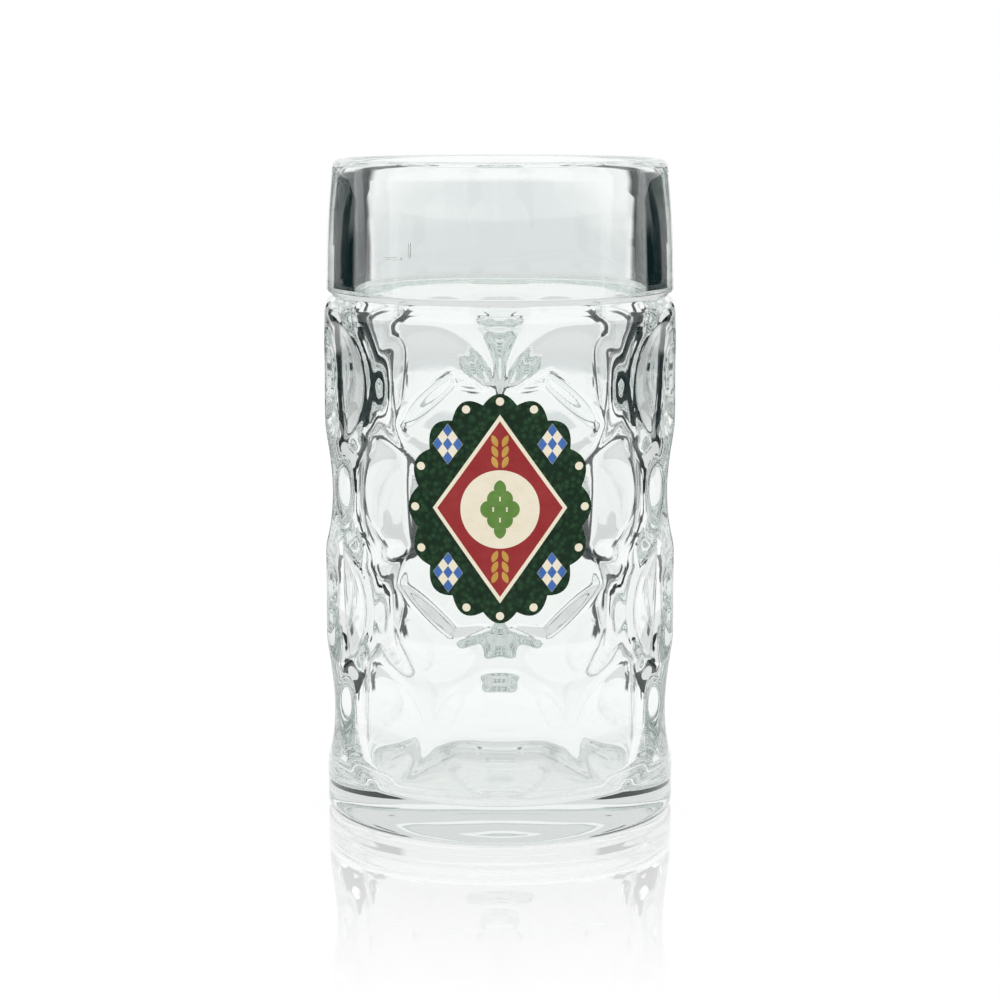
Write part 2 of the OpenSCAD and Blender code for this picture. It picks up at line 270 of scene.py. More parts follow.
@dataclass(frozen=True)
class Eyes:
    """Round hollows pressed into the barrel in staggered rows, but not on the panel or the lower root."""

    body_r: float
    count: int = 8
    rows: int = 4
    first_z: float = 34.5
    pitch: float = 34.0
    across: float = 37.0
    depth: float = 4.6
    wheel_r: float = 105.0
    picture_row: int = 2
    root_row: int = 0
    clear_steps: float = 0.25
    beside_steps: float = 1.2
    rounding: float = 1.0
    eye_wall: float = 8.4
    lining_rounding: float = 2.5

    @property
    def rim_r(self) -> float:
        """Radius of the wheel's rounded edge."""
        return ((self.across / 2) ** 2 + self.depth ** 2) / (2 * self.depth)

    @property
    def axis_r(self) -> float:
        """Distance of the wheel's axis from the mug's axis."""
        return self.body_r - self.depth + self.wheel_r

    @property
    def panel(self) -> Panel:
        """The panel, centred on the eye that it takes the place of."""
        return Panel(self.body_r, self.first_z + self.picture_row * self.pitch)

    def places(self) -> list[tuple[float, float, bool]]:
        """Place the eyes row by row, every second row turned by half a step.

        An eye within clear_steps of the middle of the panel or of the lower root is left out, and one
        within beside_steps of the panel's is trimmed by the panel.

        Returns:
            Azimuth and height of each eye, and whether the panel trims it.
        """
        step = 2 * math.pi / self.count
        found = []
        for row in range(self.rows):
            for k in range(self.count):
                turn = (k + (row % 2) / 2) * step
                away = min(turn, 2 * math.pi - turn)
                off = abs(row - self.picture_row)
                clear = self.clear_steps * step
                on_panel = off == 0 and away < clear
                on_root = row == self.root_row and away > math.pi - clear
                if not on_panel and not on_root:
                    beside = off <= 1 and away < self.beside_steps * step
                    found.append((turn, self.first_z + row * self.pitch, beside))
        return found

    def hollow(self, turn: np.ndarray, up: np.ndarray, grow: float = 0.0) -> np.ndarray:
        """Radius of one eye's surface, or of the swelling behind it, at places told from its middle.

        An eye is the bite of a wheel with a round edge, whose upright axis stands beside the mug. With
        edge = rim_r + grow, the wheel's radius at height up is w = wheel_r - rim_r + sqrt(edge^2 -
        up^2), and a ray from the mug's axis meets it at axis_r cos(turn) - sqrt(w^2 - axis_r^2
        sin(turn)^2).

        Args:
            turn: angles from the eye's middle.
            up: heights from the eye's middle.
            grow: how much the wheel is grown, for a swelling by the glass's thickness.

        Returns:
            The radius, or one well outside the barrel where the wheel isn't met.
        """
        edge = self.rim_r + grow
        wheel = self.wheel_r - self.rim_r + np.sqrt(np.maximum(edge ** 2 - up ** 2, 0.0))
        bite = wheel ** 2 - (self.axis_r * np.sin(turn)) ** 2
        met = self.axis_r * np.cos(turn) - np.sqrt(np.maximum(bite, 0.0))
        missed = (bite <= 0) | (np.abs(up) >= edge) | (np.cos(turn) <= 0)
        return np.where(missed, 2 * self.body_r, met)

    def radius(self, smooth: np.ndarray, azimuth: np.ndarray, height: np.ndarray) -> np.ndarray:
        """Press the eyes into a smooth outside, with every crease rounded as fire polishing leaves it.

        Args:
            smooth: radius of the outside before the eyes.
            azimuth: angles from the front.
            height: heights above the table.

        Returns:
            The radius with the eyes.
        """
        result = smooth
        panel = self.panel.radius(azimuth, height)
        for turn, z, beside in self.places():
            eye = self.hollow(azimuth - turn, height - z)
            if beside:
                eye = soft_max(eye, panel, self.rounding)
            result = soft_min(result, eye, self.rounding)
        return result

    def lining(self, wall: np.ndarray, azimuth: np.ndarray, height: np.ndarray) -> np.ndarray:
        """Let the inside follow the eyes as soft swellings, as glass blown against the mould does.

        Args:
            wall: radius of the inside before the eyes.
            azimuth: angles from the front.
            height: heights above the table.

        Returns:
            The radius with the swellings.
        """
        result = wall
        for turn, z, _ in self.places():
            swelling = self.hollow(azimuth - turn, height - z, self.eye_wall)
            result = soft_min(result, swelling, self.lining_rounding)
        return result


@dataclass(frozen=True)
class Handle:
    """Solid handle behind the mug: two level arms with spread roots, two bends and an upright grip."""

    body_r: float
    back_y: float
    width: float = 22.0
    thick: float = 16.0
    edge_r: float = 6.6
    upper_z: float = 136.0
    lower_z: float = 42.0
    upper_bend_r: float = 23.0
    lower_bend_r: float = 34.0
    root_flare: float = 1.08
    upper_reach: float = 8.4
    ring_step: float = 2.2
    cut_rings: int = 3
    curve_rings: int = 9
    curve_ease: float = 0.6
    least_lift: float = 1.0
    inset: float = 0.985

    @property
    def grip_y(self) -> float:
        """Middle of the upright grip."""
        return self.back_y - self.thick / 2

    def outline(self, turn: np.ndarray) -> np.ndarray:
        """Distance from the section's middle to its rounded oblong edge, in a direction.

        A ray meets a straight side where that lies between the rounded corners, and otherwise the
        corner's circle.

        Args:
            turn: directions, from across the fingers towards the handle's outer side.

        Returns:
            The distances.
        """
        half_w, half_t = self.width / 2, self.thick / 2
        c = np.maximum(np.abs(np.cos(turn)), TINY)
        s = np.maximum(np.abs(np.sin(turn)), TINY)
        across, along = half_w / c, half_t / s
        in_w, in_t = half_w - self.edge_r, half_t - self.edge_r
        lean = c * in_w + s * in_t
        corner = lean + np.sqrt(np.maximum(lean ** 2 - in_w ** 2 - in_t ** 2 + self.edge_r ** 2, 0.0))
        return np.where(s * across <= in_t, across, np.where(c * along <= in_w, along, corner))

    def centreline(self) -> np.ndarray:
        """Middle line of the handle from the upper root's end to the lower root's end.

        Returns:
            Rows of y, z, and the y and z of the section's outer side.
        """
        upper_y, lower_y = self.grip_y - self.upper_bend_r, self.grip_y - self.lower_bend_r
        upper_c, lower_c = self.upper_z - self.upper_bend_r, self.lower_z + self.lower_bend_r
        quarter = math.pi / 2

        def steps(length: float) -> int:
            """Count of rings along a length."""
            return max(2, round(length / self.ring_step))

        def straight(*values: np.ndarray | float) -> np.ndarray:
            """Rows of a stretch, from its four values."""
            return np.stack(np.broadcast_arrays(*values), axis=-1)

        def arc_rows(y: float, z: float, radius: float, turn: np.ndarray) -> np.ndarray:
            """Rows of a bend around a middle, whose outer side points away from it."""
            c, s = np.cos(turn), np.sin(turn)
            return straight(y + radius * c, z + radius * s, c, s)

        arm = np.linspace(self.body_r + self.upper_reach, upper_y, steps(upper_y - self.body_r))
        top = np.linspace(quarter, 0.0, steps(quarter * self.upper_bend_r))[1:]
        grip = np.linspace(upper_c, lower_c, steps(upper_c - lower_c))[1:]
        low = np.linspace(0.0, -quarter, steps(quarter * self.lower_bend_r))[1:]
        upper_arc = arc_rows(upper_y, upper_c, self.upper_bend_r, top)
        lower_arc = arc_rows(lower_y, lower_c, self.lower_bend_r, low)
        upright = straight(self.grip_y, grip, 1.0, 0.0)
        return np.concatenate([straight(arm, self.upper_z, 0.0, 1.0), upper_arc, upright, lower_arc])

    def rings(self, turn: np.ndarray) -> np.ndarray:
        """Carry the section along the middle line.

        A point is the middle plus outline(turn) times cos(turn) along -X and sin(turn) outwards.

        Args:
            turn: directions around the section.

        Returns:
            Points of shape (rings, directions, 3).
        """
        line = self.centreline()
        size = self.outline(turn)
        across = np.broadcast_to(-size * np.cos(turn), (len(line), len(turn)))
        out = size * np.sin(turn)
        y, z, out_y, out_z = (line[:, k:k + 1] for k in range(4))
        return np.stack([across, y + out_y * out, z + out_z * out], axis=-1)


@dataclass(frozen=True)
class PressedGlass:
    """Soda-lime glass, pressed and fire-polished: clear and glossy, faintly green in its depth.

    Pressing leaves long shallow waves in the skin, which bend what is seen through it a little.
    """

    tint: str = "#fbfdfc"
    depth_tint: str = "#c9dbd5"
    absorption: float = 2.2
    ior: float = 1.52
    roughness: float = 0.0
    wave_mm: float = 14.0
    wave_height_mm: float = 0.05
    wave_strength: float = 0.5

    def material(self) -> bpy.types.Material:
        """Build the glass with its waves and its green depth.

        Returns:
            The material.
        """
        material = new_material("pressed_soda_lime_glass")
        tree = material.node_tree
        place = add_node(tree, "TexCoord")
        waves = add_node(tree, "TexNoise", inputs={
            "Vector": place.outputs["Object"], "Scale": 1 / (self.wave_mm * MM), "Detail": 1.0})
        bump = add_node(tree, "Bump", inputs={
            "Height": waves, "Strength": self.wave_strength, "Distance": self.wave_height_mm * MM})
        glass = add_node(tree, "BsdfPrincipled", inputs={
            "Base Color": linear(self.tint), "Roughness": self.roughness, "IOR": self.ior,
            "Transmission Weight": 1.0, "Normal": bump})
        depth = add_node(tree, "VolumeAbsorption", inputs={
            "Color": linear(self.depth_tint), "Density": self.absorption})
        add_node(tree, "OutputMaterial", inputs={"Surface": glass, "Volume": depth})
        return material


@dataclass
class GlassBody:
    """Cup and handle in one closed skin: a turned section, eyes pressed in, the handle grown out."""

    body_r: float
    body_h: float
    handle_y: float
    heel_r: float = 2.6
    shoulder_r: float = 6.0
    neck_h: float = 41.5
    neck_step: float = 0.9
    neck_taper: float = 1.9
    groove_depth: float = 2.0
    groove_rise: float = 1.3
    lip_t: float = 6.0
    wall_t: float = 10.4
    floor_t: float = 9.5
    well_r: float = 8.0
    ring_w: float = 10.9
    hollow_h: float = 3.5
    polish_r: float = 0.45
    fine_step: float = 0.1
    barrel_slack: float = 0.02
    longest_row: float = 4.0
    sharpest_row: float = 0.16
    columns: int = 304
    root_half: int = 13
    rows_between_roots: int = 92
    waves: tuple[tuple[float, int, float], ...] = ((0.05, 3, 19.0), (0.04, 5, -13.0), (0.03, 2, 7.0))
    finish: PressedGlass = field(default_factory=PressedGlass)

    @property
    def eyes(self) -> Eyes:
        """The hollows in the barrel."""
        return Eyes(self.body_r)

    @property
    def handle(self) -> Handle:
        """The handle behind."""
        return Handle(self.body_r, self.handle_y)

    @property
    def row_pitch(self) -> float:
        """Height from row to row on the barrel, which puts a row at the middle of each root."""
        return (self.handle.upper_z - self.handle.lower_z) / self.rows_between_roots

    @property
    def neck_z(self) -> float:
        """Height of the groove under the neck band."""
        return self.body_h - self.neck_h

    @property
    def band_z(self) -> float:
        """Height at which the neck band is widest."""
        return self.neck_z + self.groove_rise

    @property
    def lip_z(self) -> float:
        """Height of the middle of the lip's round."""
        return self.body_h - self.lip_t / 2

    @property
    def neck_bow(self) -> float:
        """Radius of the neck band's bowed side."""
        return ((self.lip_z - self.band_z) ** 2 + self.neck_taper ** 2) / (2 * self.neck_taper)

    def neck_at(self, height: np.ndarray) -> np.ndarray:
        """Outside radius of the neck band, neck_r - bow + sqrt(bow^2 - (height - band_z)^2)."""
        rise = np.sqrt(self.neck_bow ** 2 - (height - self.band_z) ** 2)
        return self.body_r - self.neck_step - self.neck_bow + rise

    def section(self) -> tuple[np.ndarray, np.ndarray]:
        """Half section of the glass, from under the floor out, up, over the lip and down inside.

        Arcs and straight runs are joined, then every corner is rounded by a running mean over the
        polish radius. The inside starts two degrees past the lip's top, which the outside ends on.

        Returns:
            Points of radius and height, and True for each point on the outside.
        """
        neck_r = self.body_r - self.neck_step
        lip_out, lip_r = neck_r - self.neck_taper, self.lip_t / 2
        lip_z, band_z, bow = self.lip_z, self.band_z, self.neck_bow
        bow_end = math.degrees(math.asin((lip_z - band_z) / bow))
        groove_r = neck_r - self.groove_depth
        shoulder_a = math.degrees(math.acos(1 - (self.body_r - groove_r) / self.shoulder_r))
        shoulder_z = self.neck_z - self.shoulder_r * math.sin(math.radians(shoulder_a))
        ring_r = self.body_r - self.heel_r - self.ring_w
        hollow_r = (ring_r ** 2 + self.hollow_h ** 2) / (2 * self.hollow_h)
        hollow_a = math.degrees(math.asin(ring_r / hollow_r))
        mouth_r, well_wall = lip_out - self.lip_t, self.body_r - self.wall_t
        draft = math.degrees(math.atan((mouth_r - well_wall) / (lip_z - self.floor_t - self.well_r)))
        outside = np.concatenate([
            arc((0.0, self.hollow_h - hollow_r), hollow_r, 90, 90 - hollow_a),
            arc((self.body_r - self.heel_r, self.heel_r), self.heel_r, -90, 0),
            arc((self.body_r - self.shoulder_r, shoulder_z), self.shoulder_r, 0, shoulder_a),
            arc((neck_r - bow, band_z), bow, 0, bow_end),
            arc((lip_out - lip_r, lip_z), lip_r, bow_end, 90),
        ])
        inside = np.concatenate([
            arc((mouth_r + lip_r, lip_z), lip_r, 92, 180),
            arc((well_wall - self.well_r, self.floor_t + self.well_r), self.well_r, -draft, -90),
            np.array([[0.0, self.floor_t]]),
        ])
        step = self.fine_step
        line = resampled(np.concatenate([outside, inside]), step)
        half = int(3 * self.polish_r / step)
        weight = np.exp(-0.5 * (np.arange(-half, half + 1) * step / self.polish_r) ** 2)
        weight /= weight.sum()
        padded = np.pad(line, ((half, half), (0, 0)), mode="edge")
        rounded = np.stack([np.convolve(padded[:, k], weight, "valid") for k in (0, 1)], axis=-1)
        rounded[0], rounded[-1] = line[0], line[-1]
        top = int(np.argmax(rounded[:, 1]))
        return rounded, np.arange(len(rounded)) <= top

    def rows(self) -> tuple[np.ndarray, np.ndarray, np.ndarray]:
        """Choose the rows of the skin: even on the barrel, elsewhere closer where the section bends.

        Returns:
            Radius and height of each row before the eyes, and True for each row on the outside.
        """
        line, outer = self.section()
        root_z, pitch = self.handle.lower_z, self.row_pitch
        lowest = root_z - pitch * int((root_z - 2 * self.heel_r) / pitch)
        barrel = np.arange(lowest, self.neck_z - self.shoulder_r, pitch)
        on_barrel = outer & (line[:, 0] > self.body_r - self.barrel_slack)
        first, last = np.flatnonzero(on_barrel)[[0, -1]]
        below = first + np.searchsorted(line[first:last, 1], barrel[0] - pitch)
        above = first + np.searchsorted(line[first:last, 1], barrel[-1] + pitch)

        def spread(part: np.ndarray, keep: np.ndarray) -> tuple[np.ndarray, np.ndarray]:
            """Pick points so that neither the step nor the turn from one to the next is large.

            Args:
                part: points along the section.
                keep: True for each point on the outside.

            Returns:
                The picked points, and True for each of them on the outside.
            """
            ahead = np.diff(part, axis=0)
            heading = np.unwrap(np.arctan2(ahead[:, 1], ahead[:, 0]))
            bend = np.abs(np.diff(heading, prepend=heading[0]))
            share = np.hypot(*ahead.T) / self.longest_row + bend / self.sharpest_row
            count = np.concatenate([[0.0], np.cumsum(share)])
            wanted = np.linspace(0.0, count[-1], int(count[-1]) + 2)
            pick = np.unique(np.searchsorted(count, wanted).clip(0, len(part) - 1))
            return part[pick], keep[pick]

        foot, foot_out = spread(line[:below + 1], outer[:below + 1])
        rest, rest_out = spread(line[above:], outer[above:])
        straight = np.stack([np.full_like(barrel, self.body_r), barrel], axis=-1)
        every = np.concatenate([foot, straight, rest])
        out = np.concatenate([foot_out, np.ones(len(barrel), dtype=bool), rest_out])
        return every[:, 0], every[:, 1], out

    def skin(self, smooth: np.ndarray, azimuth: np.ndarray, height: np.ndarray) -> np.ndarray:
        """Points of the outside at a smooth radius, azimuth and height, with the eyes pressed in."""
        return around_axis(self.eyes.radius(smooth, azimuth, height), azimuth, height)

    def inner_wave(self, azimuth: np.ndarray, height: np.ndarray) -> np.ndarray:
        """Shallow waves that the plunger leaves: size sin(count azimuth + height / rise), summed."""
        return sum(size * np.sin(count * azimuth + height / rise) for size, count, rise in self.waves)

    def grown_handle(self, ring: np.ndarray, turn: np.ndarray) -> np.ndarray:
        """Rings of the handle from the upper root's cut to the lower root's, both cuts left out.

        From the square cut the rings draw in along the barrel to the root's edge, then rise in a curve
        that starts along the barrel and ends along the arm, a cubic with both end directions. The lower
        root is the same, upside down.

        Args:
            ring: offsets of the cut's points from the root's middle, around the barrel and up.
            turn: directions of those points.

        Returns:
            Points of shape (rings, directions, 3).
        """
        handle = self.handle
        smooth = np.full(1, self.body_r)
        along = handle.rings(turn)
        heading = np.stack([np.cos(turn), np.sin(turn)], axis=-1)
        edge = handle.root_flare * handle.outline(turn)[:, None] * heading

        def on_barrel(offset: np.ndarray, z: float, up: float) -> np.ndarray:
            """Barrel points at offsets from a root."""
            return self.skin(smooth, math.pi + offset[..., 0] / self.body_r, z + up * offset[..., 1])

        def root(z: float, up: float, arm: np.ndarray) -> np.ndarray:
            """Rings from the cut to the arm's first ring, both left out.

            Args:
                z: height of the root's middle.
                up: 1 for the upper root, -1 for the lower.
                arm: points of the arm's first ring.

            Returns:
                Points of shape (rings, directions, 3).
            """
            share = np.linspace(0.0, 1.0, handle.cut_rings + 1)[1:, None, None]
            flat = on_barrel((1 - share) * ring + share * edge, z, up)
            start = flat[-1]
            inward = on_barrel(edge * handle.inset, z, up) - start
            inward /= np.linalg.norm(inward, axis=-1, keepdims=True)
            gap = np.linalg.norm((arm - start)[:, [0, 2]], axis=-1, keepdims=True)
            lift = np.maximum(arm[:, 1:2] - start[:, 1:2], handle.least_lift)
            lead = start + inward * handle.curve_ease * gap
            follow = arm - np.array([0.0, handle.curve_ease, 0.0]) * lift
            t = np.linspace(0.0, 1.0, handle.curve_rings + 2)[1:-1, None, None]
            first_half = (1 - t) ** 3 * start + 3 * (1 - t) ** 2 * t * lead
            return np.concatenate([flat, first_half + 3 * (1 - t) * t ** 2 * follow + t ** 3 * arm])

        upper = root(handle.upper_z, 1.0, along[0])
        lower = root(handle.lower_z, -1.0, along[-1])
        return np.concatenate([upper, along, lower[::-1]])

    def turned(self, radius: np.ndarray, height: np.ndarray, outer: np.ndarray) -> np.ndarray:
        """Turn the rows around the axis, with the eyes outside and their swellings and waves inside.

        Args:
            radius: radius of each row before the eyes.
            height: height of each row.
            outer: True for each row on the outside.

        Returns:
            Points of shape (rows, columns, 3).
        """
        azimuth = np.arange(self.columns) * 2 * math.pi / self.columns
        smooth = radius[:, None] + np.zeros(self.columns)
        inside = height[~outer, None]
        smooth[~outer] = self.eyes.lining(smooth[~outer], azimuth[None, :], inside)
        smooth[~outer] += self.inner_wave(azimuth[None, :], inside)
        grid = around_axis(smooth, azimuth, height[:, None])
        grid[outer] = self.skin(smooth[outer], azimuth[None, :], height[outer, None])
        return grid

    def cut_side(self) -> np.ndarray:
        """Go around a root's square cut in grid steps, from its first corner.

        Returns:
            Steps across and up from the root's middle to each point.
        """
        offset = np.arange(-self.root_half, self.root_half + 1)
        side = np.full(2 * self.root_half, self.root_half)
        return np.concatenate([
            np.stack([offset[:-1], -side], axis=-1), np.stack([side, offset[:-1]], axis=-1),
            np.stack([offset[:0:-1], side], axis=-1), np.stack([-side, offset[:0:-1]], axis=-1)])

    def build(self) -> bpy.types.Object:
        """Make the glass: turned grid with closed poles, two square cuts and the handle between them.

        Returns:
            The piece.
        """
        radius, height, outer = (values[1:-1] for values in self.rows())
        grid = self.turned(radius, height, outer)
        count = len(radius) * self.columns
        quads = grid_quads(len(radius), self.columns, True)
        number = np.arange(count).reshape(len(radius), self.columns)

        half, middle = self.root_half, self.columns // 2
        side = self.cut_side()
        barrel_rows = np.flatnonzero(outer & np.isclose(radius, self.body_r, atol=TINY))
        handle = self.handle
        kept = np.ones(quads.shape[:2], dtype=bool)
        inner = np.zeros(number.shape, dtype=bool)
        loops = []
        for z, up in ((handle.upper_z, 1), (handle.lower_z, -1)):
            row = barrel_rows[np.argmin(np.abs(height[barrel_rows] - z))]
            kept[row - half:row + half, middle - half:middle + half] = False
            inner[row - half + 1:row + half, middle - half + 1:middle + half] = True
            loops.append(number[row + up * side[:, 1], middle + side[:, 0]])

        ring = side * np.array([2 * math.pi * self.body_r / self.columns, self.row_pitch])
        tube = self.grown_handle(ring, np.arctan2(ring[:, 1], ring[:, 0]))
        poles = np.array([[0.0, 0.0, self.hollow_h], [0.0, 0.0, self.floor_t]])
        tube_own = np.arange(tube.shape[0] * tube.shape[1]).reshape(tube.shape[:2])
        here = np.concatenate([loops[0][None, :], count + len(poles) + tube_own, loops[1][None, :]])
        beside = np.roll(here, -1, axis=1)
        tube_quads = np.stack([here[:-1], beside[:-1], beside[1:], here[1:]], axis=-1).reshape(-1, 4)

        below, above = fan(count, number[0][::-1]), fan(count + 1, number[-1])
        points = np.concatenate([grid.reshape(-1, 3), poles, tube.reshape(-1, 3)])
        used = np.ones(len(points), dtype=bool)
        used[:count] = ~inner.ravel()
        renumber = np.cumsum(used) - 1
        faces = [renumber[quads[kept]], renumber[tube_quads], renumber[below], renumber[above]]
        piece = make_object("mug_glass", points[used], faces, self.finish.material())
        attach(piece, BODY)
        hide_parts("vessel", "handle")
        return piece


@dataclass(frozen=True)
class FillMark:
    """Moulded fill line on the neck with an upright stroke beside it, low beads of the same glass."""

    glass: GlassBody
    height: float = 175.0
    width: float = 7.2
    turn: float = math.radians(-36)
    stroke_h: float = 5.0
    stroke_gap: float = 2.5
    rise: float = 0.3
    half: float = 0.5
    gap: float = 0.01
    rings: int = 25
    ring_points: int = 12

    def bead(self, length: float, turn: float, low: float, upright: bool) -> np.ndarray:
        """Points of one bead, ring by ring along it, shrunk to a point at both ends.

        At angle f around the bead, a point lies half q cos(f) to the side and rise / 2 (1 + q sin(f))
        out from the neck, where q = sqrt(1 - e^2) and e grows from 0 to 1 over the last half width at
        each end.

        Args:
            length: length of the bead.
            turn: azimuth of its middle.
            low: height of its lower end, or of its middle line when it lies.
            upright: whether it runs up the neck.

        Returns:
            Points of shape (rings, directions, 3).
        """
        along = np.sin(np.linspace(-0.5, 0.5, self.rings) * math.pi)[:, None] * length / 2
        around = np.arange(self.ring_points)[None, :] * 2 * math.pi / self.ring_points
        end = np.clip((np.abs(along) - length / 2 + self.half) / self.half, 0.0, 1.0)
        round_off = np.sqrt(1 - end ** 2)
        side = self.half * round_off * np.cos(around) * (-1 if upright else 1)
        run = along + 0 * around
        z = low + (length / 2 + run if upright else side)
        lift = self.rise / 2 * (1 + round_off * np.sin(around))
        radius = self.glass.neck_at(z) + self.gap + lift
        return around_axis(radius, turn + (side if upright else run) / radius, z)

    def build(self, finish: bpy.types.Material) -> bpy.types.Object:
        """Make both beads in one piece, with the rings' ends closed by their meeting in a point.

        Args:
            finish: the mug's glass.

        Returns:
            The piece.
        """
        neck_r = float(self.glass.neck_at(np.array(self.height)))
        beside = self.turn + (self.width / 2 + self.stroke_gap) / neck_r
        beads = [self.bead(self.width, self.turn, self.height, False),
                 self.bead(self.stroke_h, beside, self.height, True)]
        points, faces, first = [], [], 0
        for rings in beads:
            count, round_count = rings.shape[:2]
            inside = rings[1:-1].reshape(-1, 3)
            quads = grid_quads(count - 2, round_count, True).reshape(-1, 4)
            number = first + np.arange(len(inside)).reshape(-1, round_count)
            pole = first + len(inside)
            points += [inside, rings[0, :1], rings[-1, :1]]
            faces += [first + quads, fan(pole, number[0][::-1]), fan(pole + 1, number[-1])]
            first = pole + 2
        piece = make_object("fill_mark", np.concatenate(points), faces, finish)
        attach(piece, BODY)
        return piece


class EnamelColour(Enum):
    """Fired colours of the picture: node name, main colour, a darker and a lighter shade of it."""

    GREEN = ("print_green", "#1f3d2a", "#0f2417", "#35603a")
    CREAM = ("print_cream", "#efe6cd", "#e2d5b4", "#f8f3e4")
    RED = ("print_red", "#9c2b2e", "#84191f", "#ad3b3a")
    BLUE = ("print_blue", "#3f6cb4", "#30589c", "#557fc0")
    GOLD = ("print_gold", "#c79a3c", "#9c6f22", "#e0bd66")
    LEAF = ("print_leaf", "#5f8a3a", "#3e6427", "#83a956")

    @property
    def node(self) -> str:
        """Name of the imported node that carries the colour."""
        return self.value[0]

    @property
    def main(self) -> str:
        """The main colour."""
        return self.value[1]


@dataclass(frozen=True)
class Overprint:
    """Ground colour printed over the pearl that touches a chequered corner, alike in all quarters."""

    colour: str
    middle_z: float = 102.5
    pearl: tuple[float, float] = (18.01, 22.46)
    pearl_r: float = 1.4
    corner: tuple[float, float] = (15.29, 19.03)
    corner_half: tuple[float, float] = (4.4, 6.0)

    def over(self, tree: bpy.types.NodeTree, under: bpy.types.NodeSocket) -> bpy.types.NodeSocket:
        """Lay the ground colour over another within a pearl's reach and outside the corner's lozenge.

        Args:
            tree: the enamel's node tree.
            under: the colour below.

        Returns:
            The colour with the overprint.
        """
        place = add_node(tree, "TexCoord")
        middle = add_node(tree, "VectorMath", {"operation": "SUBTRACT"}, {
            0: place.outputs["Object"], 1: (0.0, 0.0, self.middle_z * MM)})
        flat = add_node(tree, "VectorMath", {"operation": "MULTIPLY"}, {0: middle, 1: (1.0, 0.0, 1.0)})
        quarter = add_node(tree, "VectorMath", {"operation": "ABSOLUTE"}, {0: flat})
        pearl = add_node(tree, "VectorMath", {"operation": "DISTANCE"}, {
            0: quarter, 1: (self.pearl[0] * MM, 0.0, self.pearl[1] * MM)})
        near = add_node(tree, "Math", {"operation": "LESS_THAN"}, {
            0: pearl.outputs["Value"], 1: self.pearl_r * MM})
        offset = add_node(tree, "VectorMath", {"operation": "SUBTRACT"}, {
            0: quarter, 1: (self.corner[0] * MM, 0.0, self.corner[1] * MM)})
        aside = add_node(tree, "VectorMath", {"operation": "ABSOLUTE"}, {0: offset})
        per_half = (1 / (self.corner_half[0] * MM), 0.0, 1 / (self.corner_half[1] * MM))
        share = add_node(tree, "VectorMath", {"operation": "DOT_PRODUCT"}, {0: aside, 1: per_half})
        outside = add_node(tree, "Math", {"operation": "GREATER_THAN"}, {
            0: share.outputs["Value"], 1: 1.0})
        mask = add_node(tree, "Math", {"operation": "MULTIPLY"}, {0: near, 1: outside})
        laid = add_node(tree, "Mix", {"data_type": "RGBA"}, {
            "Factor": mask, MIX_A: under, MIX_B: linear(self.colour)})
        return laid.outputs[MIX_OUT]


@dataclass(frozen=True)
class FiredEnamel:
    """Ceramic colour screen-printed on the glass and fired: opaque, satin-glossy, finely grained."""

    colour: EnamelColour
    leaf_mm: float = 0.0
    overprint: Overprint | None = None
    grain_mm: float = 0.7
    cloud_mm: float = 5.0
    roughness: float = 0.28
    gloss_swing: float = 0.06
    peel_mm: float = 0.03
    peel_strength: float = 0.15
    leaf_middle: float = 0.1
    leaf_end: float = 0.62
    leaf_bright: float = 0.62
    leaf_share: float = 0.75
    ior: float = 1.5

    def material(self) -> bpy.types.Material:
        """Build the enamel: cloudy coat thickness, a fine screen grain and a slight orange-peel.

        Returns:
            The material.
        """
        _, main, dark, light = self.colour.value
        material = new_material(f"fired_enamel_{self.colour.name.lower()}")
        tree = material.node_tree
        place = add_node(tree, "TexCoord")
        grain = add_node(tree, "TexVoronoi", inputs={
            "Vector": place.outputs["Object"], "Scale": 1 / (self.grain_mm * MM)})
        cloud = add_node(tree, "TexNoise", inputs={
            "Vector": place.outputs["Object"], "Scale": 1 / (self.cloud_mm * MM), "Detail": 4.0})
        shade = add_node(tree, "Mix", {"data_type": "RGBA"}, {
            "Factor": cloud, MIX_A: linear(dark), MIX_B: linear(light)})
        colour = add_node(tree, "Mix", {"data_type": "RGBA"}, {
            "Factor": grain, MIX_A: linear(main), MIX_B: shade.outputs[MIX_OUT]}).outputs[MIX_OUT]
        if self.leaf_mm:
            # Small overlapping leaves in two greens, each bright in its middle and dark where it ends.
            leaves = add_node(tree, "TexVoronoi", inputs={
                "Vector": place.outputs["Object"], "Scale": 1 / (self.leaf_mm * MM)})
            bright = add_node(tree, "MapRange", inputs={
                "Value": leaves, "From Min": self.leaf_middle, "From Max": self.leaf_end,
                "To Min": self.leaf_bright, "To Max": 0.0})
            leafy = add_node(tree, "Mix", {"data_type": "RGBA"}, {
                "Factor": bright, MIX_A: linear(dark), MIX_B: linear(light)})
            colour = add_node(tree, "Mix", {"data_type": "RGBA"}, {
                "Factor": self.leaf_share, MIX_A: colour, MIX_B: leafy.outputs[MIX_OUT]}).outputs[MIX_OUT]
        if self.overprint:
            colour = self.overprint.over(tree, colour)
        gloss = add_node(tree, "MapRange", inputs={
            "Value": cloud, "To Min": self.roughness - self.gloss_swing,
            "To Max": self.roughness + self.gloss_swing})
        bump = add_node(tree, "Bump", inputs={
            "Height": grain, "Strength": self.peel_strength, "Distance": self.peel_mm * MM})
        coat = add_node(tree, "BsdfPrincipled", inputs={
            "Base Color": colour, "Roughness": gloss, "IOR": self.ior, "Normal": bump})
        add_node(tree, "OutputMaterial", inputs={"Surface": coat})
        return material


